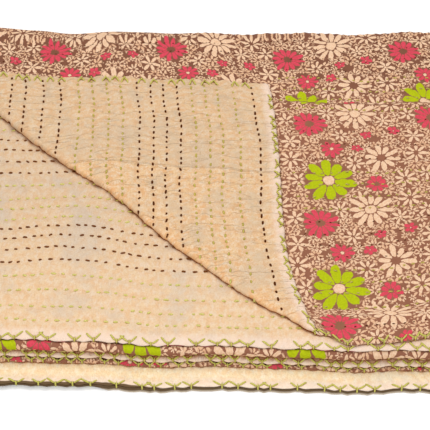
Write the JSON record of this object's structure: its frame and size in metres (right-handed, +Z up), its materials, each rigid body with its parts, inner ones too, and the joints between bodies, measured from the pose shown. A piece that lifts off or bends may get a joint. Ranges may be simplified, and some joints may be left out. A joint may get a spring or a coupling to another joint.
{
  "type": "folded kantha quilt",
  "caption": "Hand-quilted cloth quilt folded into a flat stack with its hems at the front and one corner of the top layer turned back over a diagonal crease.",
  "frame": {"origin": "on the surface that the stack lies on, in the middle of its underside", "axes": "+X along the long side of the folded stack, +Y from the open hems at the front to the fold at the back, +Z up"},
  "size_m": [0.7107, 0.5859, 0.046],
  "materials": {
    "printed_cotton": "matte cotton with a dense flower print, softened by hand quilting",
    "cream_cotton": "matte plain cream cotton, softly puckered by hand quilting"
  },
  "bodies": {
    "root": {"printed_cloth": "printed_cotton", "cream_cloth": "cream_cotton"}
  },
  "joints": []
}
